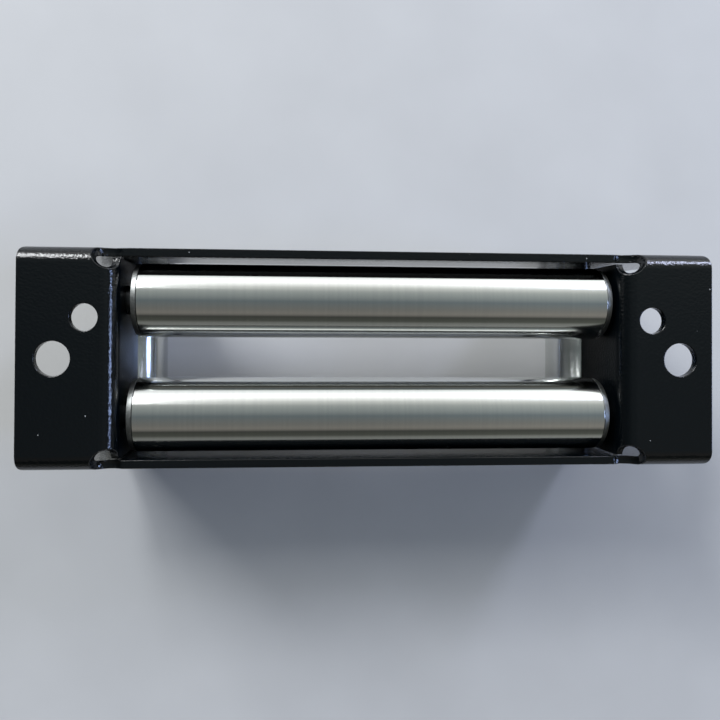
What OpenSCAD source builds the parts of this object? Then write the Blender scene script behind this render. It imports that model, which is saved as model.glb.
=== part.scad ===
// Roller fairlead with a pressed frame and four free rollers, lying face down with its mounting face up.
// X runs along the frame, Y across it, and Z from the front tabs of the flanges up to the mounting face.

/* [Mounting] */
// Distance between the two large bolt holes
bolt_spacing = 254; // [220:0.5:300]
// Diameter of the large bolt holes
bolt_hole = 13.8; // [9:0.1:17]
// Diameter of the small bolt holes
small_hole = 10.8; // [7:0.1:13]
// How far each small hole lies inward of its large hole
small_inset = 11.9; // [9:0.1:12.5]
// How far the small holes lie above the middle line
small_rise = 16.2; // [14:0.1:24]
// From a large hole's centre to the end of its ear
ear_margin = 13.8; // [10:0.1:30]

/* [Frame] */
// Height of the frame over both flanges
frame_height = 88.5; // [80:0.5:110]
// Thickness of the sheet
sheet = 3.5; // [2:0.1:4.5]
// Inside radius of all bends
bend_radius = 3; // [1.5:0.1:5]
// How far the turned edge of the ears runs straight past its bend
lip_straight = 2; // [0.5:0.1:6]
// Radius of the outer corners of the turned edge
lip_corner = 8; // [2:0.5:8]
// Radius of the outer corners of the front tabs, which hold the short rollers
flange_corner = 14; // [12:0.5:20]
// Radius of the inner corners of the front tabs
tab_corner = 8; // [3:0.5:9]
// How far the front tabs reach inward of the short rollers
tab_reach = 2; // [1:0.1:8]
// Radius where the front tabs meet the middle of the flanges
bay_corner = 8; // [3:0.5:12]
// How far the middle of the flanges stays behind the front of the long rollers, so that a rope rides on them
mid_set = 5; // [1:0.5:12]
// How far the front tabs stand past the short rollers
front_guard = 1.5; // [0.5:0.1:8]
// From a large hole's centre to the roller side of the side plate
plate_inset = 24.5; // [23:0.1:40]
// Gap between a side plate and the flanges
plate_gap = 0.5; // [0.3:0.1:2]
// Radius of the front corners of the side plates
plate_corner = 6; // [2:0.5:10]
// Gap between a side plate's front edge and the short rollers
plate_guard = 1; // [0.5:0.1:6]
// Diameter of the bend-relief holes
relief_hole = 14; // [9:0.1:15]
// How far the relief holes reach past the bends, on the flanges and on the side plates
relief_reach = 1.5; // [1:0.1:4]
// How far the middles of the relief holes lie inward of the flanges' outer faces
relief_inset = 1.8; // [1:0.1:4]

/* [Rollers] */
// Outside diameter of the rollers
roller_d = 31; // [26:0.5:34]
// Wall of the roller tubes
roller_wall = 4.5; // [3:0.1:6]
// Small chamfer at the ends of the roller tubes
roller_chamfer = 0.4; // [0.2:0.1:1]
// Depth of the long rollers under the mounting face
roller_setback = 4.5; // [1:0.1:12]
// Gap between the long rollers and the flanges
flange_gap = 1.35; // [0.8:0.05:5]
// Gap in depth between the long and the short rollers
layer_gap = 4.5; // [1.5:0.1:12]
// How far the short rollers' inner sides lie inward of the side plates
way_inset = 10; // [2:0.1:25]
// End play of a long roller at each side plate
long_play = 3; // [1.5:0.1:5]
// End play of a short roller at each flange
short_play = 1.5; // [0.5:0.1:5]
// Sideways place of the upper roller within its end play
upper_shift = 1; // [-1:0.1:1]
// Sideways place of the lower roller within its end play
lower_shift = -0.3; // [-1:0.1:1]

/* [Bushes] */
// Thickness of the bush flange at the roller end
bush_flange = 2; // [1:0.1:3]
// How far the flange is smaller in radius than the roller
bush_step = 0.3; // [0.1:0.1:1]
// Cone on the rim of the flange
bush_cone = 0.4; // [0.2:0.1:2]
// How far a bush reaches into its roller
bush_reach = 20; // [8:0.5:30]

/* [Pins] */
// Diameter of the roller pins
pin_d = 12; // [8:0.5:13]
// How far a pin's head stands out around it
head_lip = 3; // [1.5:0.1:4]
// Thickness of a pin's head
head_t = 3.5; // [2:0.1:6]
// Chamfer at the head's rim and at the pin's tail
pin_chamfer = 0.8; // [0.2:0.1:1]
// Tail of a pin beyond its retaining ring
tail_land = 2.2; // [1.2:0.1:5]

/* [Retaining rings] */
// Thickness of a retaining ring
ring_t = 1.2; // [0.8:0.1:2]
// Radial width of a retaining ring
ring_w = 2.2; // [1.5:0.1:3]
// Depth of the groove in the pin
groove_depth = 0.5; // [0.3:0.05:1]
// Radius of the ring's two eyes
eye_r = 2; // [1.6:0.1:2.6]
// Diameter of the holes in the eyes
eye_hole = 1.6; // [1:0.1:2]
// Width of the ring's opening
ring_opening = 3; // [2:0.1:5]

/* [Clearances] */
// Radial running clearance of the bushes on their pins
run_clear = 0.05; // [0.02:0.01:0.1]
// Radial clearance of the pins in the frame
pin_clear = 0.1; // [0.05:0.01:0.3]
// Clearance of a retaining ring in its groove, at each face
groove_clear = 0.05; // [0.02:0.01:0.1]

/* [Hidden] */

$fn = 96;
// Overshoot of a cut past the face that it opens
cut = 1;

frame_length = bolt_spacing + 2*ear_margin;
half_height = frame_height/2;
bend_out = bend_radius + sheet;
lip_depth = bend_out + lip_straight;
lip_round = min(lip_corner, lip_depth);
lip_x = frame_length/2 - lip_round;
roller_r = roller_d/2;
pin_r = pin_d/2;

// Side plates: x of the roller side, of the outer side, and of the line where the bend starts on the web
plate_x = bolt_spacing/2 - plate_inset;
plate_out = plate_x + sheet;
bend_x = plate_x + bend_out;

// Roller axes. Depths are counted downwards from the mounting face.
long_y = half_height - sheet - flange_gap - roller_r;
long_depth = roller_setback + roller_r;
short_x = plate_x - way_inset + roller_r;
short_depth = long_depth + roller_d + layer_gap;
frame_depth = short_depth + roller_r + front_guard;
plate_depth = short_depth - roller_r - plate_guard;
plate_half = half_height - sheet - plate_gap;
long_z = frame_depth - long_depth;
short_z = frame_depth - short_depth;

// Roller lengths over the bush flanges
long_length = 2*(plate_x - long_play);
short_length = 2*(half_height - sheet - short_play);

// Relief holes sit on the crossing of the bends. They are ball-shaped cuts, which follow a round hole in the
// flat sheet as it wraps on to the flange and the side plate.
relief_r = relief_hole/2;
relief_x = bend_x - bend_out/2;
relief_y = half_height - relief_inset;
relief_depth = bend_out + relief_reach - relief_r;

// Front tab of a flange: its outer corner is a lobe around the short pin, with a straight side up to the ear's
// lip, and its inner side lies just inward of the short roller
lobe_x = short_x - flange_corner/4;
tab_x = short_x - roller_r - tab_reach;
bay_top = frame_depth - long_depth - roller_r + mid_set;

// Reach of a pin past the sheet at its tail: ring in its groove, then the land
groove_w = ring_t + 2*groove_clear;
tail = groove_w + tail_land;

// Where a line from the point p touches the circle of radius r around c, on the side of larger x
function touch(p, c, r) =
    let (d = p - c, far = norm(d), turn = acos(r/far), base = atan2(d[1], d[0]))
    c + r*[cos(base - turn), sin(base - turn)];

// Places a shape drawn along Z so that it runs along X or along Y
module along_x() { rotate([0, 90, 0]) children(); }
module along_y() { rotate([-90, 0, 0]) children(); }

// Repeats a shape for both ends, or for all four corners, of the frame
module both_ends() {
    for (turn = [0, 1]) mirror([turn, 0, 0]) children();
}
module four_corners() {
    both_ends() for (turn = [0, 1]) mirror([0, turn, 0]) children();
}

// A channel profile: a bar along X that is open below, with its two upper edges rounded
module bar(half, top, bottom, radius, length) {
    translate([-length/2, -half, bottom]) cube([length, 2*half, top - radius - bottom]);
    translate([-length/2, -half + radius, bottom]) cube([length, 2*(half - radius), top - bottom]);
    for (side = [-1, 1])
        translate([-length/2, side*(half - radius), top - radius]) along_x() cylinder(r = radius, h = length);
}

// The sheet bent to a channel, before its outline is cut
module channel() {
    difference() {
        bar(half_height, frame_depth, 0, bend_out, frame_length);
        bar(half_height - sheet, frame_depth - sheet, -cut, bend_radius, frame_length + 2*cut);
    }
}

// Side outline of one half of the frame, as a block across the full height: the ear's lip, then the flange
module ear_block(width) {
    low = frame_depth - lip_depth;
    translate([0, -width/2, low]) cube([lip_x, width, lip_depth + cut]);
    translate([0, -width/2, low + lip_round]) cube([frame_length/2, width, lip_depth - lip_round + cut]);
    translate([lip_x, -width/2, low + lip_round]) along_y() cylinder(r = lip_round, h = width);
}
module flange_block(width) {
    lobe = [lobe_x, flange_corner];
    start = [lip_x, frame_depth - lip_depth];
    translate([0, width/2, 0]) rotate([90, 0, 0]) linear_extrude(width)
        polygon([[0, 0], [lobe_x, 0], lobe, touch(start, lobe, flange_corner), start, [lip_x, frame_depth],
            [0, frame_depth]]);
    translate([lobe_x, -width/2, flange_corner]) along_y() cylinder(r = flange_corner, h = width);
}

// Bay between the front tabs, through both flanges, with rounded corners at its top and on the tabs
module bay(width) {
    translate([-tab_x, -width/2, -cut]) cube([2*tab_x, width, bay_top - bay_corner + cut]);
    translate([-tab_x + bay_corner, -width/2, -cut]) cube([2*(tab_x - bay_corner), width, bay_top + cut]);
    both_ends() {
        translate([tab_x - bay_corner, -width/2, bay_top - bay_corner]) along_y()
            cylinder(r = bay_corner, h = width);
        difference() {
            translate([tab_x - cut, -width/2, -cut]) cube([tab_corner + cut, width, tab_corner + cut]);
            translate([tab_x + tab_corner, -width/2 - cut, tab_corner]) along_y()
                cylinder(r = tab_corner, h = width + 2*cut);
        }
    }
}
module outline() {
    width = frame_height + 2*cut;
    both_ends() {
        ear_block(width);
        flange_block(width);
    }
}

// Side plate folded out of the window, with its bend and two pin holes
module side_plate() {
    difference() {
        union() {
            translate([plate_x, -plate_half, frame_depth - plate_depth + plate_corner])
                cube([sheet, 2*plate_half, plate_depth - plate_corner - bend_out]);
            translate([plate_x, -plate_half + plate_corner, frame_depth - plate_depth])
                cube([sheet, 2*(plate_half - plate_corner), plate_corner]);
            for (side = [-1, 1])
                translate([plate_x, side*(plate_half - plate_corner), frame_depth - plate_depth + plate_corner])
                    along_x() cylinder(r = plate_corner, h = sheet);
            intersection() {
                translate([bend_x, -plate_half, frame_depth - bend_out]) along_y() difference() {
                    cylinder(r = bend_out, h = 2*plate_half);
                    translate([0, 0, -cut]) cylinder(r = bend_radius, h = 2*(plate_half + cut));
                }
                translate([plate_x, -plate_half, frame_depth - bend_out])
                    cube([bend_out, 2*plate_half, bend_out]);
            }
        }
        for (side = [-1, 1])
            translate([plate_x - cut, side*long_y, long_z]) along_x()
                cylinder(r = pin_r + pin_clear, h = sheet + 2*cut);
    }
}

// Relief hole at one window corner
module relief() {
    translate([relief_x, relief_y, frame_depth - relief_depth]) sphere(r = relief_r);
}

module frame() {
    color("#15181c") difference() {
        union() {
            difference() {
                intersection() {
                    channel();
                    outline();
                }
                translate([-bend_x, -half_height - cut, frame_depth - bend_out])
                    cube([2*bend_x, frame_height + 2*cut, bend_out + cut]);
                bay(frame_height + 2*cut);
            }
            both_ends() side_plate();
        }
        four_corners() relief();
        both_ends() {
            translate([bolt_spacing/2, 0, frame_depth - bend_out])
                cylinder(d = bolt_hole, h = bend_out + cut);
            translate([bolt_spacing/2 - small_inset, small_rise, frame_depth - bend_out])
                cylinder(d = small_hole, h = bend_out + cut);
            translate([short_x, -half_height - cut, short_z]) along_y()
                cylinder(r = pin_r + pin_clear, h = frame_height + 2*cut);
        }
    }
}

// Roller tube along Z, centred, with its bush flanges left out of the length
module roller(length) {
    tube = length - 2*bush_flange;
    inner = roller_r - roller_wall;
    color("#c9cccb") rotate_extrude() polygon([
        [inner, -tube/2], [roller_r - roller_chamfer, -tube/2], [roller_r, -tube/2 + roller_chamfer],
        [roller_r, tube/2 - roller_chamfer], [roller_r - roller_chamfer, tube/2], [inner, tube/2]]);
}

// Flanged bush at the upper end of a roller along Z
module bush(length) {
    seat = length/2 - bush_flange;
    rim = roller_r - bush_step;
    outer = roller_r - roller_wall;
    bore = pin_r + run_clear;
    color("#8c8f90") rotate_extrude() polygon([
        [bore, seat - bush_reach], [outer, seat - bush_reach], [outer, seat], [rim, seat],
        [rim - bush_cone, length/2], [bore, length/2]]);
}

// Pin along Z through two sheets whose outer faces are a given span apart, head at the lower end
module pin(span) {
    head_r = pin_r + head_lip;
    groove_r = pin_r - groove_depth;
    face = span/2;
    color("#b9bcbb") rotate_extrude() polygon([
        [0, -face - head_t], [head_r - pin_chamfer, -face - head_t], [head_r, -face - head_t + pin_chamfer],
        [head_r, -face], [pin_r, -face], [pin_r, face], [groove_r, face], [groove_r, face + groove_w],
        [pin_r, face + groove_w], [pin_r, face + tail - pin_chamfer], [pin_r - pin_chamfer, face + tail],
        [0, face + tail]]);
}

// Open retaining ring at the tail of a pin along Z, with two eyes beside its opening
module ring(span) {
    inner = pin_r - groove_depth + groove_clear;
    outer = inner + ring_w;
    eye_x = inner + eye_r;
    eye_y = ring_opening/2 + eye_r;
    color("#3b3d40") translate([0, 0, span/2 + groove_clear]) difference() {
        union() {
            cylinder(r = outer, h = ring_t);
            for (side = [-1, 1]) translate([eye_x, side*eye_y, 0]) cylinder(r = eye_r, h = ring_t);
        }
        translate([0, 0, -cut]) cylinder(r = inner, h = ring_t + 2*cut);
        translate([0, -ring_opening/2, -cut]) cube([outer + 2*eye_r, ring_opening, ring_t + 2*cut]);
        for (side = [-1, 1])
            translate([eye_x, side*eye_y, -cut]) cylinder(d = eye_hole, h = ring_t + 2*cut);
    }
}

// Places of the four roller axes
module at_upper() { translate([0, long_y, long_z]) along_x() children(); }
module at_lower() { translate([0, -long_y, long_z]) along_x() children(); }
module at_left() { translate([-short_x, 0, short_z]) along_y() children(); }
module at_right() { translate([short_x, 0, short_z]) along_y() children(); }

frame();
at_upper() translate([0, 0, upper_shift]) roller(long_length);  // upper_roller
at_lower() translate([0, 0, lower_shift]) roller(long_length);  // lower_roller
at_left() roller(short_length);  // left_roller
at_right() roller(short_length);  // right_roller
at_upper() translate([0, 0, upper_shift]) mirror([0, 0, 1]) bush(long_length);  // upper_bush_left
at_upper() translate([0, 0, upper_shift]) bush(long_length);  // upper_bush_right
at_lower() translate([0, 0, lower_shift]) mirror([0, 0, 1]) bush(long_length);  // lower_bush_left
at_lower() translate([0, 0, lower_shift]) bush(long_length);  // lower_bush_right
at_left() bush(short_length);  // left_bush_top
at_left() mirror([0, 0, 1]) bush(short_length);  // left_bush_bottom
at_right() bush(short_length);  // right_bush_top
at_right() mirror([0, 0, 1]) bush(short_length);  // right_bush_bottom
at_upper() pin(2*plate_out);  // upper_pin
at_lower() pin(2*plate_out);  // lower_pin
at_left() pin(frame_height);  // left_pin
at_right() pin(frame_height);  // right_pin
at_upper() ring(2*plate_out);  // upper_ring
at_lower() ring(2*plate_out);  // lower_ring
at_left() ring(frame_height);  // left_ring
at_right() ring(frame_height);  // right_ring
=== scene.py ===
import math
import bpy
from mathutils import Matrix, Vector


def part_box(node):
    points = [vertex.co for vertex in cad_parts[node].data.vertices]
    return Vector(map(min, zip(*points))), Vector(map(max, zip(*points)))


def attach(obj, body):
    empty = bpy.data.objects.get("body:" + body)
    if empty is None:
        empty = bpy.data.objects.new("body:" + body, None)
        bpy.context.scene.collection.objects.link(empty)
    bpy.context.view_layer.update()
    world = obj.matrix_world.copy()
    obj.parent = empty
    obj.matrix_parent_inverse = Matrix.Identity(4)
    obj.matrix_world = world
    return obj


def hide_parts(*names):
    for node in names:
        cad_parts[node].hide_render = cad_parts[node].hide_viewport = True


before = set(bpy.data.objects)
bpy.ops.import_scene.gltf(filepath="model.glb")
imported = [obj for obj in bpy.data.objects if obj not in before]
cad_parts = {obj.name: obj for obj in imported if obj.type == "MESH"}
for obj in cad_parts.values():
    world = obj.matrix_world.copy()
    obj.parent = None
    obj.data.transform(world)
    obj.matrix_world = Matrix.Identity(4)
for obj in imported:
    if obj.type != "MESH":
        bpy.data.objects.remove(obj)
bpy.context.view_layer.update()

mm = 0.001  # the scene is in metres
mergeGap = 0.001 * mm  # points closer than this become one
noiseSpan = (0.3, 0.7)  # most values of a noise texture lie between these
print("fairlead: frame loaded,", len(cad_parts), "nodes")


# Small helpers

def linear(hexText):
    # an sRGB hex colour as the linear colour that the shaders work in
    parts = [int(hexText[i:i + 2], 16) / 255 for i in (1, 3, 5)]
    return [p / 12.92 if p <= 0.04045 else ((p + 0.055) / 1.055) ** 2.4 for p in parts] + [1]


def addNode(tree, kind, settings, links):
    # a setting goes to the socket of that name or number, or else to the node itself
    node = tree.nodes.new(kind)
    for key, value in settings.items():
        if isinstance(key, int) or key in node.inputs:
            node.inputs[key].default_value = value
        else:
            setattr(node, key, value)
    for socket, source in links.items():
        tree.links.new(source, node.inputs[socket])
    return node


def setRamp(ramp, stops):
    # stops are (place, colour), from low to high
    elements = ramp.color_ramp.elements
    while len(elements) > 1:
        elements.remove(elements[-1])
    for i, (place, colour) in enumerate(stops):
        stop = elements[0] if i == 0 else elements.new(place)
        stop.position = place
        stop.color = colour


def newMaterial(name):
    material = bpy.data.materials.new(name)
    material.use_nodes = True
    tree = material.node_tree
    tree.nodes.clear()
    return material, tree


def pickOnly(piece):
    bpy.ops.object.select_all(action="DESELECT")
    piece.select_set(True)
    bpy.context.view_layer.objects.active = piece


edgeSet = {
    "flat": 0.5,  # degrees, faces that differ by less are joined
    "sharp": 38,  # degrees, a corner beyond this is a real edge
    "smooth": 60,  # degrees, the shading runs on over corners up to this
    "faceWeight": 100,  # how strongly the large faces lead the shading
}


def roundEdges(piece, width, segments):
    # a bevel on the real edges only, then smooth shading that keeps the large faces flat
    pickOnly(piece)
    bevel = piece.modifiers.new("edges", "BEVEL")
    bevel.width = width
    bevel.segments = segments
    bevel.limit_method = "ANGLE"
    bevel.angle_limit = math.radians(edgeSet["sharp"])
    bevel.use_clamp_overlap = False
    bpy.ops.object.modifier_apply(modifier=bevel.name)
    bpy.ops.object.shade_smooth_by_angle(angle=math.radians(edgeSet["smooth"]))
    shading = piece.modifiers.new("shading", "WEIGHTED_NORMAL")
    shading.weight = edgeSet["faceWeight"]
    shading.keep_sharp = True
    bpy.ops.object.modifier_apply(modifier=shading.name)


def turnPiece(name, profile, segments):
    # turned on the Z axis: a circle at the first (z, radius) is extruded from point to point
    bpy.ops.object.select_all(action="DESELECT")
    z, radius = profile[0]
    bpy.ops.mesh.primitive_circle_add(vertices=segments, radius=radius, location=(0, 0, z),
                                      enter_editmode=True)
    piece = bpy.context.object
    piece.name = name
    for nextZ, nextRadius in profile[1:]:
        bpy.ops.mesh.extrude_edges_move(TRANSFORM_OT_translate={"value": (0, 0, nextZ - z)})
        grow = nextRadius / radius
        bpy.ops.transform.resize(value=(grow, grow, 1), center_override=(0, 0, nextZ))
        z, radius = nextZ, nextRadius
    bpy.ops.mesh.select_all(action="SELECT")
    bpy.ops.mesh.remove_doubles(threshold=mergeGap)
    bpy.ops.mesh.fill_holes(sides=0)
    bpy.ops.mesh.select_all(action="SELECT")
    bpy.ops.mesh.normals_make_consistent(inside=False)
    bpy.ops.object.mode_set(mode="OBJECT")
    bpy.ops.object.transform_apply(location=True, rotation=True, scale=True)
    return piece


def placeCopy(master, name, centre, axis, turned=False):
    # a copy with its own mesh, laid along X or Y at its place, end for end where turned
    pickOnly(master)
    bpy.ops.object.duplicate(linked=False)
    piece = bpy.context.object
    piece.name = name
    turn, about = (90, "Y") if axis == "X" else (-90, "X")
    lay = Matrix.Rotation(math.radians(turn), 4, about)
    flip = Matrix.Rotation(math.pi, 4, "X") if turned else Matrix.Identity(4)
    piece.matrix_world = Matrix.Translation(centre) @ lay @ flip
    bpy.ops.object.transform_apply(location=True, rotation=True, scale=True)
    return piece


def dropPiece(piece):
    pickOnly(piece)
    bpy.ops.object.delete()


def joinIn(piece, node, body, material):
    # the piece stands for a node, moves with its body and wears its finish
    piece.data.materials.clear()
    piece.data.materials.append(material)
    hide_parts(node)
    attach(piece, body)


def softCopy(name, node, width, segments):
    # a node's own shape, its loose triangles merged, its flat faces cleaned and its edges rounded
    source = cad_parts[node]
    piece = bpy.data.objects.new(name, source.data.copy())
    bpy.context.scene.collection.objects.link(piece)
    pickOnly(piece)
    bpy.ops.object.mode_set(mode="EDIT")
    bpy.ops.mesh.select_all(action="SELECT")
    bpy.ops.mesh.remove_doubles(threshold=mergeGap)
    bpy.ops.mesh.dissolve_limited(angle_limit=math.radians(edgeSet["flat"]))
    bpy.ops.object.mode_set(mode="OBJECT")
    roundEdges(piece, width, segments)
    return piece


# Camera: above the mounting face, a little left of the middle and leaning to the right

cameraSet = {
    "place": (-36.0, 10.1, 336.5),  # mm
    "lean": (0.583, -4.120, 0.280),  # degrees
    "lens": 33.14,  # mm
    "sensor": 36,  # mm
    "shift": (0.0352, -0.0458),  # the picture is a cut-out, so its middle isn't the lens axis
    "near": 10,  # mm, nothing closer to the lens is drawn
}


def makeCamera():
    bpy.ops.object.camera_add(
        location=Vector(cameraSet["place"]) * mm,
        rotation=[math.radians(a) for a in cameraSet["lean"]],
    )
    camera = bpy.context.object
    camera.data.sensor_width = cameraSet["sensor"]
    camera.data.lens = cameraSet["lens"]
    camera.data.shift_x, camera.data.shift_y = cameraSet["shift"]
    camera.data.clip_start = cameraSet["near"] * mm
    bpy.context.scene.camera = camera


makeCamera()
print("fairlead: camera set")


# Floor: a pale tabletop with a very soft cloudiness

floorSet = {
    "size": 8.0,  # m
    "colour": "#babbbc",
    "shade": (0.96, 1.03),  # share of that colour in the dark and the light patches
    "cloud": 60,  # mm, width of the patches
    "roughness": 0.62,
    "ior": 1.45,
}


def tabletopPaper():
    # matt coated paper: pale, almost neutral and nearly even
    material, tree = newMaterial("matt_coated_paper")
    place = addNode(tree, "ShaderNodeTexCoord", {}, {})
    cloud = addNode(tree, "ShaderNodeTexNoise",
                    {"Scale": 1 / (floorSet["cloud"] * mm), "Detail": 3},
                    {"Vector": place.outputs["Object"]})
    tone = addNode(tree, "ShaderNodeValToRGB", {}, {"Fac": cloud.outputs["Fac"]})
    base = linear(floorSet["colour"])[:3]
    shades = [[c * share for c in base] + [1] for share in floorSet["shade"]]
    setRamp(tone, zip(noiseSpan, shades))
    paper = addNode(tree, "ShaderNodeBsdfPrincipled",
                    {"Roughness": floorSet["roughness"], "IOR": floorSet["ior"]},
                    {"Base Color": tone.outputs["Color"]})
    addNode(tree, "ShaderNodeOutputMaterial", {}, {"Surface": paper.outputs["BSDF"]})
    return material


def makeFloor():
    bpy.ops.object.select_all(action="DESELECT")
    bpy.ops.mesh.primitive_plane_add(size=floorSet["size"], location=(0, 0, 0))
    floor = bpy.context.object
    floor.name = "tabletop"
    floor.data.materials.append(tabletopPaper())


makeFloor()
print("fairlead: floor laid")


# Light: a cloth tent that is bright behind the part, three softboxes like windows and a cool one

tentSet = {
    "radius": 6.0,  # m, wider than the floor
    "segments": (64, 32),
    # angle from straight up towards +Y in degrees, and the cloth's glow there
    "bands": [
        (-90, (0.28, 0.29, 0.28)),
        (-72, (0.20, 0.205, 0.19)),
        (-65, (0.085, 0.09, 0.077)),
        (-50, (0.062, 0.064, 0.057)),
        (-45, (0.18, 0.172, 0.157)),
        (-39, (0.24, 0.228, 0.206)),
        (-26, (0.20, 0.20, 0.187)),
        (-2, (0.165, 0.195, 0.205)),
        (10, (0.28, 0.31, 0.31)),
        (22, (0.375, 0.41, 0.40)),
        (30, (0.46, 0.49, 0.475)),
        (43, (0.80, 0.82, 0.78)),
        (58, (1.70, 1.70, 1.68)),
        (70, (1.70, 1.72, 1.72)),
        (80, (1.20, 1.24, 1.25)),
        (90, (0.60, 0.64, 0.66)),
    ],
    # how far to the left (-1) or right (1), and the share of the glow there
    "sides": [(-0.8, 0.4), (-0.2, 1.0), (0.15, 1.0), (0.40, 1.25), (0.52, 1.2), (0.8, 0.9)],
}

roomSet = {"colour": "#c9ccd2"}  # past the edge of the floor

softboxSet = {
    # middle, size across and up, and what it faces in m, colour, power in W
    "leftWindow": {"place": (-1.15, 2.05, 1.92), "size": (0.41, 1.07), "aim": (-1.15, 0, 0.07),
                   "colour": "#fbfdff", "power": 41},
    "lowLeftWindow": {"place": (-1.8, 2.09, 1.25), "size": (1.17, 0.9), "aim": (0, 0, 0.05),
                      "colour": "#fbfdff", "power": 62},
    "rightWindow": {"place": (1.27, 1.44, 1.06), "size": (0.34, 0.52), "aim": (1.27, 0, 0.07),
                    "colour": "#d8e0ff", "power": 16},
    "coolSide": {"place": (2.88, -0.14, 1.62), "size": (0.95, 0.54), "aim": (-0.1, -0.14, 0.07),
                 "colour": "#b0c8ff", "power": 32},
}


def litCloth():
    # frosted cloth lit from outside: it glows in soft bands that the rollers and the paint mirror
    material, tree = newMaterial("lit_frosted_cloth")
    place = addNode(tree, "ShaderNodeTexCoord", {}, {})
    way = addNode(tree, "ShaderNodeVectorMath", {"operation": "NORMALIZE"},
                  {0: place.outputs["Object"]})
    split = addNode(tree, "ShaderNodeSeparateXYZ", {}, {"Vector": way.outputs["Vector"]})
    turn = addNode(tree, "ShaderNodeMath", {"operation": "ARCTAN2"},
                   {0: split.outputs["Y"], 1: split.outputs["Z"]})
    band = addNode(tree, "ShaderNodeMapRange",
                   {"From Min": -math.pi / 2, "From Max": math.pi / 2},
                   {"Value": turn.outputs["Value"]})
    tone = addNode(tree, "ShaderNodeValToRGB", {}, {"Fac": band.outputs["Result"]})
    setRamp(tone, [((angle + 90) / 180, (*glow, 1)) for angle, glow in tentSet["bands"]])
    side = addNode(tree, "ShaderNodeMapRange", {"From Min": -1, "From Max": 1},
                   {"Value": split.outputs["X"]})
    share = addNode(tree, "ShaderNodeValToRGB", {}, {"Fac": side.outputs["Result"]})
    setRamp(share, [((far + 1) / 2, (part, part, part, 1)) for far, part in tentSet["sides"]])
    cloth = addNode(tree, "ShaderNodeEmission", {},
                    {"Color": tone.outputs["Color"], "Strength": share.outputs["Color"]})
    addNode(tree, "ShaderNodeOutputMaterial", {}, {"Surface": cloth.outputs["Emission"]})
    return material


def makeTent():
    # the upper half of a ball over the floor, out of the camera's sight
    around, up = tentSet["segments"]
    bpy.ops.object.select_all(action="DESELECT")
    bpy.ops.mesh.primitive_uv_sphere_add(segments=around, ring_count=up, radius=tentSet["radius"],
                                         enter_editmode=True)
    tent = bpy.context.object
    tent.name = "light_tent"
    bpy.ops.mesh.select_all(action="SELECT")
    bpy.ops.mesh.bisect(plane_co=(0, 0, 0), plane_no=(0, 0, 1), clear_inner=True)
    bpy.ops.object.mode_set(mode="OBJECT")
    tent.data.materials.append(litCloth())
    tent.visible_camera = False


def makeRoom():
    world = bpy.data.worlds.new("plain_room")
    bpy.context.scene.world = world
    world.use_nodes = True
    tree = world.node_tree
    tree.nodes.clear()
    wall = addNode(tree, "ShaderNodeBackground", {"Color": linear(roomSet["colour"])}, {})
    addNode(tree, "ShaderNodeOutputWorld", {}, {"Surface": wall.outputs["Background"]})


def makeSoftbox(name):
    box = softboxSet[name]
    aim = Vector(box["aim"]) - Vector(box["place"])
    bpy.ops.object.light_add(type="AREA", location=box["place"],
                             rotation=aim.to_track_quat("-Z", "Y").to_euler())
    lamp = bpy.context.object
    lamp.name = name
    lamp.data.shape = "RECTANGLE"
    lamp.data.size, lamp.data.size_y = box["size"]
    lamp.data.color = linear(box["colour"])[:3]
    lamp.data.energy = box["power"]
    lamp.visible_camera = False


makeRoom()
makeTent()
for name in softboxSet:
    makeSoftbox(name)
bpy.context.scene.view_settings.view_transform = "Standard"
print("fairlead: lights set")


# Finish of the frame

paintFinish = {
    "colour": "#020508",
    "ior": 1.45,
    "roughness": (0.04, 0.08),
    "blotch": 12,  # mm, width of the patches in which the gloss varies
    "peel": 0.9,  # mm, width of the orange peel's bumps
    "peelHeight": 0.12,  # mm
    "recess": 102.5,  # mm from the middle, the side plates' inner faces, where the powder is thin
    "recessDepth": 0.3,  # mm to each side of that face
    "recessReach": 40.5,  # mm from the middle, just short of the flanges
    "recessRoughness": 0.3,  # added there
    "mirror": (0.5, 0.08),  # how strongly the coat mirrors outside and in the recess
    "speck": 9.0,  # mm between dust grains
    "speckSize": 0.03,  # a grain's radius as a share of that
    "dust": "#8f9294",
}


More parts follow.
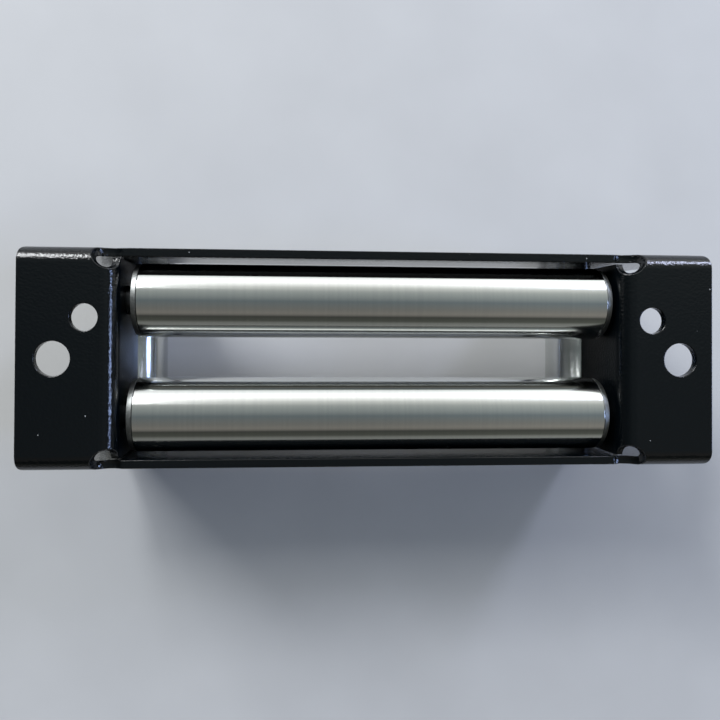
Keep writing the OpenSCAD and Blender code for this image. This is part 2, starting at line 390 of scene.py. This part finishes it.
def glossBlackPowderCoat():
    # polyester powder, sprayed and baked: deep black, with orange peel that breaks up highlights
    material, tree = newMaterial("gloss_black_powder_coat")
    place = addNode(tree, "ShaderNodeTexCoord", {}, {})
    peel = addNode(tree, "ShaderNodeTexNoise",
                   {"Scale": 1 / (paintFinish["peel"] * mm), "Detail": 2, "Roughness": 0.45},
                   {"Vector": place.outputs["Object"]})
    bump = addNode(tree, "ShaderNodeBump",
                   {"Strength": 1, "Distance": paintFinish["peelHeight"] * mm},
                   {"Height": peel.outputs["Fac"]})
    gloss = addNode(tree, "ShaderNodeTexNoise",
                    {"Scale": 1 / (paintFinish["blotch"] * mm), "Detail": 3},
                    {"Vector": place.outputs["Object"]})
    low, high = paintFinish["roughness"]
    rough = addNode(tree, "ShaderNodeMapRange", {"To Min": low, "To Max": high},
                    {"Value": gloss.outputs["Fac"]})

    # 1 on the inner faces of the side plates and 0 elsewhere
    split = addNode(tree, "ShaderNodeSeparateXYZ", {}, {"Vector": place.outputs["Object"]})
    side = addNode(tree, "ShaderNodeMath", {"operation": "ABSOLUTE"}, {0: split.outputs["X"]})
    plate = addNode(tree, "ShaderNodeMath",
                    {"operation": "COMPARE", 1: paintFinish["recess"] * mm,
                     2: paintFinish["recessDepth"] * mm},
                    {0: side.outputs["Value"]})
    across = addNode(tree, "ShaderNodeMath", {"operation": "ABSOLUTE"}, {0: split.outputs["Y"]})
    between = addNode(tree, "ShaderNodeMath",
                      {"operation": "LESS_THAN", 1: paintFinish["recessReach"] * mm},
                      {0: across.outputs["Value"]})
    recess = addNode(tree, "ShaderNodeMath", {"operation": "MULTIPLY"},
                     {0: plate.outputs["Value"], 1: between.outputs["Value"]})
    rough = addNode(tree, "ShaderNodeMath",
                    {"operation": "MULTIPLY_ADD", 1: paintFinish["recessRoughness"]},
                    {0: recess.outputs["Value"], 2: rough.outputs["Result"]})
    outside, inside = paintFinish["mirror"]
    mirror = addNode(tree, "ShaderNodeMapRange", {"To Min": outside, "To Max": inside},
                     {"Value": recess.outputs["Value"]})

    # a few pale grains of dust, where sockets 6 and 7 are the colours and output 2 is their mix
    cells = addNode(tree, "ShaderNodeTexVoronoi", {"Scale": 1 / (paintFinish["speck"] * mm)},
                    {"Vector": place.outputs["Object"]})
    dust = addNode(tree, "ShaderNodeMath",
                   {"operation": "LESS_THAN", 1: paintFinish["speckSize"]},
                   {0: cells.outputs["Distance"]})
    tone = addNode(tree, "ShaderNodeMix",
                   {"data_type": "RGBA", 6: linear(paintFinish["colour"]),
                    7: linear(paintFinish["dust"])},
                   {0: dust.outputs["Value"]})

    coat = addNode(tree, "ShaderNodeBsdfPrincipled", {"IOR": paintFinish["ior"]},
                   {"Base Color": tone.outputs[2], "Roughness": rough.outputs["Value"],
                    "Specular IOR Level": mirror.outputs["Result"],
                    "Normal": bump.outputs["Normal"]})
    addNode(tree, "ShaderNodeOutputMaterial", {}, {"Surface": coat.outputs["BSDF"]})
    return material


# Finishes of the rollers and pins, with marks that run round them

# bright zinc plate over fine lathe marks: pale grey, its reflections drawn into long bands
zincFinish = {
    "light": "#cfd1cf",
    "dark": "#cacccb",
    "roughness": (0.112, 0.125),
    "smear": 0.78,  # how far a reflection is drawn out along the roller
    "lines": 0.9,  # mm, turning marks, drawn coarser than the real feed so that they show
    "lineHeight": 0.0001,  # mm
}

# the short rollers are a little duller
shortZincFinish = {**zincFinish, "roughness": (0.21, 0.25)}

# drawn steel under oil: darker, with an even, wet gloss
pinFinish = {
    "light": "#6d6f71",
    "dark": "#54575a",
    "roughness": (0.16, 0.28),
    "smear": 0.0,
    "lines": 0.7,  # mm
    "lineHeight": 0.001,  # mm
}

markSet = {
    "round": 6.0,  # per m, how slowly a mark changes round the piece
    "tone": (0.32, 0.68),  # the noise values that are dark and light
    "turn": 0.25,  # of a circle, from round the piece to along it
}


def turnedMetal(name, finish, axis):
    # the pattern is stretched round the axis, and the gloss is spread along it
    material, tree = newMaterial(name)
    place = addNode(tree, "ShaderNodeTexCoord", {}, {})
    along, slow = 1 / (finish["lines"] * mm), markSet["round"]
    scale = (along, slow, slow) if axis == "X" else (slow, along, slow)
    marks = addNode(tree, "ShaderNodeMapping", {"Scale": scale},
                    {"Vector": place.outputs["Object"]})
    lines = addNode(tree, "ShaderNodeTexNoise", {"Scale": 1, "Detail": 4, "Roughness": 0.6},
                    {"Vector": marks.outputs["Vector"]})
    tone = addNode(tree, "ShaderNodeValToRGB", {}, {"Fac": lines.outputs["Fac"]})
    setRamp(tone, zip(markSet["tone"], (linear(finish["dark"]), linear(finish["light"]))))
    least, most = noiseSpan
    low, high = finish["roughness"]
    rough = addNode(tree, "ShaderNodeMapRange",
                    {"From Min": least, "From Max": most, "To Min": low, "To Max": high},
                    {"Value": lines.outputs["Fac"]})
    bump = addNode(tree, "ShaderNodeBump", {"Strength": 1, "Distance": finish["lineHeight"] * mm},
                   {"Height": lines.outputs["Fac"]})
    around = addNode(tree, "ShaderNodeTangent", {"direction_type": "RADIAL", "axis": axis}, {})
    metal = addNode(tree, "ShaderNodeBsdfPrincipled",
                    {"Metallic": 1, "Anisotropic": finish["smear"],
                     "Anisotropic Rotation": markSet["turn"]},
                    {"Base Color": tone.outputs["Color"], "Roughness": rough.outputs["Result"],
                     "Normal": bump.outputs["Normal"], "Tangent": around.outputs["Tangent"]})
    addNode(tree, "ShaderNodeOutputMaterial", {}, {"Surface": metal.outputs["BSDF"]})
    return material


# Finishes of the bushes and rings, with small blotches that have no direction

# bare turned steel gone dull: plain grey without sparkle
bushFinish = {
    "light": "#8e908f",
    "dark": "#7b7e7d",
    "roughness": (0.36, 0.46),
    "grain": 0.8,  # mm
}

# phosphate and oil on spring steel: dark grey with a soft sheen
ringFinish = {
    "light": "#4a4c4f",
    "dark": "#2c2d30",
    "roughness": (0.38, 0.55),
    "grain": 0.5,  # mm
}

grainSet = {"tone": (0.35, 0.65)}  # the noise values that are dark and light


def grainedMetal(name, finish):
    material, tree = newMaterial(name)
    place = addNode(tree, "ShaderNodeTexCoord", {}, {})
    grain = addNode(tree, "ShaderNodeTexNoise",
                    {"Scale": 1 / (finish["grain"] * mm), "Detail": 4},
                    {"Vector": place.outputs["Object"]})
    tone = addNode(tree, "ShaderNodeValToRGB", {}, {"Fac": grain.outputs["Fac"]})
    setRamp(tone, zip(grainSet["tone"], (linear(finish["dark"]), linear(finish["light"]))))
    low, high = finish["roughness"]
    rough = addNode(tree, "ShaderNodeMapRange", {"To Min": low, "To Max": high},
                    {"Value": grain.outputs["Fac"]})
    metal = addNode(tree, "ShaderNodeBsdfPrincipled", {"Metallic": 1},
                    {"Base Color": tone.outputs["Color"], "Roughness": rough.outputs["Result"]})
    addNode(tree, "ShaderNodeOutputMaterial", {}, {"Surface": metal.outputs["BSDF"]})
    return material


paint = glossBlackPowderCoat()
zinc = {
    "X": turnedMetal("turned_zinc_plated_steel", zincFinish, "X"),
    "Y": turnedMetal("satin_zinc_plated_steel", shortZincFinish, "Y"),
}
drawnSteel = {axis: turnedMetal("drawn_oiled_steel_" + axis, pinFinish, axis) for axis in "XY"}
dullSteel = grainedMetal("dull_turned_steel", bushFinish)
springSteel = grainedMetal("phosphated_spring_steel", ringFinish)
print("fairlead: finishes mixed")


# Frame: the pressed sheet with the rounded edges that the coat gives it

frameSet = {
    "edge": 0.4,  # mm
    "edgeSteps": 3,
}

sheet = softCopy("frame_sheet", "frame", frameSet["edge"] * mm, frameSet["edgeSteps"])
joinIn(sheet, "frame", "frame", paint)
print("fairlead: frame coated")


# Rollers, bushes and pins are turned pieces on four axes

axisOf = {"upper": "X", "lower": "X", "left": "Y", "right": "Y"}
endsOf = {"X": ("left", "right"), "Y": ("bottom", "top")}
pairs = (("upper", "lower"), ("left", "right"))  # alike in length


def extent(node, axis):
    # middle, length along the axis and outer radius of a turned node
    low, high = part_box(node)
    i = "XYZ".index(axis)
    return (low + high) / 2, high[i] - low[i], (high.z - low.z) / 2


rollerSet = {
    "wall": 4.5,  # mm
    "chamfer": 0.4,  # mm
    "edge": 0.15,  # mm
    "edgeSteps": 2,
    "segments": 160,
}


def makeRoller(length, radius):
    # a tube along Z with chamfered ends
    wall, chamfer = rollerSet["wall"] * mm, rollerSet["chamfer"] * mm
    end = length / 2
    master = turnPiece("roller_master", [
        (-end, radius - wall), (-end, radius - chamfer), (chamfer - end, radius),
        (end - chamfer, radius), (end, radius - chamfer), (end, radius - wall),
        (-end, radius - wall)], rollerSet["segments"])
    roundEdges(master, rollerSet["edge"] * mm, rollerSet["edgeSteps"])
    return master


for pair in pairs:
    axis = axisOf[pair[0]]
    _, length, radius = extent(pair[0] + "_roller", axis)
    master = makeRoller(length, radius)
    for place in pair:
        node = place + "_roller"
        tube = placeCopy(master, node + "_tube", extent(node, axis)[0], axis)
        joinIn(tube, node, node, zinc[axis])
    dropPiece(master)
print("fairlead: rollers turned")


bushSet = {
    "flange": 2.0,  # mm
    "cone": 0.4,  # mm, how much the flange narrows outwards
    "bore": 12.1,  # mm
    "edge": 0.12,  # mm
    "edgeSteps": 2,
    "segments": 128,
}


def makeBush(length, rim, barrel):
    # lies along Z with its flange at the upper end
    flange, cone, bore = (bushSet[key] * mm for key in ("flange", "cone", "bore"))
    end, seat = length / 2, length / 2 - flange
    master = turnPiece("bush_master", [
        (-end, bore / 2), (-end, barrel), (seat, barrel), (seat, rim), (end, rim - cone),
        (end, bore / 2), (-end, bore / 2)], bushSet["segments"])
    roundEdges(master, bushSet["edge"] * mm, bushSet["edgeSteps"])
    return master


_, bushLength, bushRim = extent("upper_bush_right", "X")
bushBarrel = extent("upper_roller", "X")[2] - rollerSet["wall"] * mm
bush = makeBush(bushLength, bushRim, bushBarrel)
for place, axis in axisOf.items():
    for end, side in enumerate(endsOf[axis]):
        node = f"{place}_bush_{side}"
        piece = placeCopy(bush, node + "_turned", extent(node, axis)[0], axis, turned=(end == 0))
        joinIn(piece, node, place + "_roller", dullSteel)
dropPiece(bush)
print("fairlead: bushes pressed in")


pinSet = {
    "diameter": 12.0,  # mm
    "headLip": 3.0,  # mm, how far the head stands out all round
    "head": 3.5,  # mm
    "chamfer": 0.8,  # mm
    "groove": 1.3,  # mm
    "grooveDepth": 0.5,  # mm
    "tailLand": 2.2,  # mm, from the groove to the end
    "edge": 0.15,  # mm
    "edgeSteps": 2,
    "segments": 96,
}


def makePin(length):
    # lies along Z with its head at the lower end and the ring's groove near the upper one
    radius = pinSet["diameter"] / 2 * mm
    lip, head, chamfer = (pinSet[key] * mm for key in ("headLip", "head", "chamfer"))
    groove, depth, land = (pinSet[key] * mm for key in ("groove", "grooveDepth", "tailLand"))
    end = length / 2
    face = -end + head
    grooveTop = end - land
    master = turnPiece("pin_master", [
        (-end, radius + lip - chamfer), (chamfer - end, radius + lip), (face, radius + lip),
        (face, radius), (grooveTop - groove, radius), (grooveTop - groove, radius - depth),
        (grooveTop, radius - depth), (grooveTop, radius), (end - chamfer, radius),
        (end, radius - chamfer)], pinSet["segments"])
    roundEdges(master, pinSet["edge"] * mm, pinSet["edgeSteps"])
    return master


for pair in pairs:
    axis = axisOf[pair[0]]
    master = makePin(extent(pair[0] + "_pin", axis)[1])
    for place in pair:
        node = place + "_pin"
        pin = placeCopy(master, node + "_turned", extent(node, axis)[0], axis)
        joinIn(pin, node, "frame", drawnSteel[axis])
    dropPiece(master)
print("fairlead: pins put in")


# Retaining rings: stamped, with tumbled edges

ringSet = {
    "edge": 0.12,  # mm
    "edgeSteps": 2,
}

for place in axisOf:
    node = place + "_ring"
    ring = softCopy(node + "_stamped", node, ringSet["edge"] * mm, ringSet["edgeSteps"])
    joinIn(ring, node, "frame", springSteel)
print("fairlead: retaining rings clipped on")
